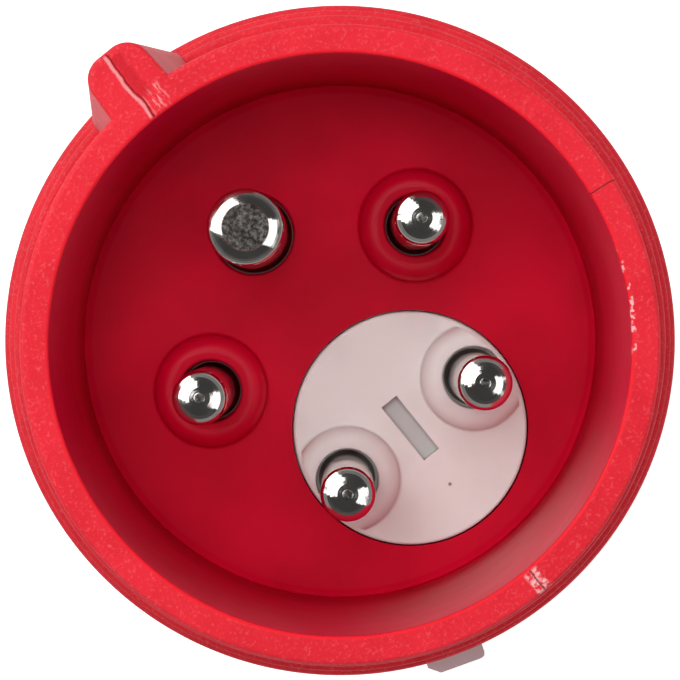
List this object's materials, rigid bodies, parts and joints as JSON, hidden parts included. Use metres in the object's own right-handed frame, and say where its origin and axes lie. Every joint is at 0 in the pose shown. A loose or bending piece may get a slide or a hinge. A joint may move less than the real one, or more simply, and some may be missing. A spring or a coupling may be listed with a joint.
{
  "type": "industrial pin and sleeve plug",
  "caption": "Industrial pin and sleeve plug: red keyed shroud round its contact pins, a turnable phase inverter disc in its face, a light grey handle and a ribbed cord gland",
  "frame": {"origin": "centre of the gland nut's end face, on the plug's axis, where the plug stands", "axes": "+Z along the plug's axis, the way the pins point; +Y towards the key and the earth pin"},
  "size_m": [0.0676, 0.0682, 0.134],
  "materials": {
    "red_plastic": "satin, fine sand texture on the rim, gloss inside",
    "grey_disc": "satin",
    "grey_plastic": "fine sand texture",
    "grey_latch": "satin",
    "nickel_plate": "bright nickel plate on brass",
    "steel": "zinc plated",
    "spring_steel": "bare",
    "brass": "machined",
    "bronze": "rolled",
    "carrier_plastic": "moulded",
    "white_plastic": "moulded",
    "black_rubber": "matt"
  },
  "bodies": {
    "plug": {"shroud_housing": "red_plastic", "earth_pin": "nickel_plate", "neutral_pin": "nickel_plate", "line1_pin": "nickel_plate", "inverter_spring": "spring_steel", "terminal_carrier": "carrier_plastic", "carrier_screws": "steel", "line2_contact": "bronze", "line3_contact": "bronze", "line2_terminal": "brass", "line3_terminal": "brass", "terminal_screws": "steel", "rear_housing": "grey_plastic", "housing_seal": "black_rubber", "latch_spring": "spring_steel", "gland_seal": "black_rubber", "gland_collet": "white_plastic"},
    "inverter_carriage": {"inverter_washer": "steel"},
    "inverter_rotor": {"inverter_disc": "grey_disc", "line2_pin": "nickel_plate", "line3_pin": "nickel_plate"},
    "latch": {"release_latch": "grey_latch"},
    "gland_thrust": {"gland_washer": "steel"},
    "nut": {"gland_nut": "grey_plastic"}
  },
  "joints": [
    {"name": "inverter_press", "type": "slide", "parent": "plug", "child": "inverter_carriage", "axis": [0, 0, -1], "range_m": [0, 0.002], "stiffness_N_per_m": 800, "springref_m": -0.006, "deforming": ["inverter_spring"]},
    {"name": "inverter_turn", "type": "hinge", "parent": "inverter_carriage", "child": "inverter_rotor", "pos_m": [0, -0.011, 0.09], "axis": [0, 0, 1], "range_deg": [0, 180]},
    {"name": "latch_slide", "type": "slide", "parent": "plug", "child": "latch", "axis": [0, 0, -1], "range_m": [0, 0.0025], "stiffness_N_per_m": 500, "springref_m": -0.003, "deforming": ["latch_spring"]},
    {"name": "gland_travel", "type": "slide", "parent": "plug", "child": "gland_thrust", "axis": [0, 0, -1], "range_m": [0, 0.003]},
    {"name": "gland_turn", "type": "hinge", "parent": "gland_thrust", "child": "nut", "pos_m": [0, 0, 0.014], "axis": [0, 0, -1], "range_deg": [0, 540]}
  ],
  "couplings": [
    {"joint": "gland_travel", "follows": "gland_turn", "m_per_rad": 0.000318}
  ]
}
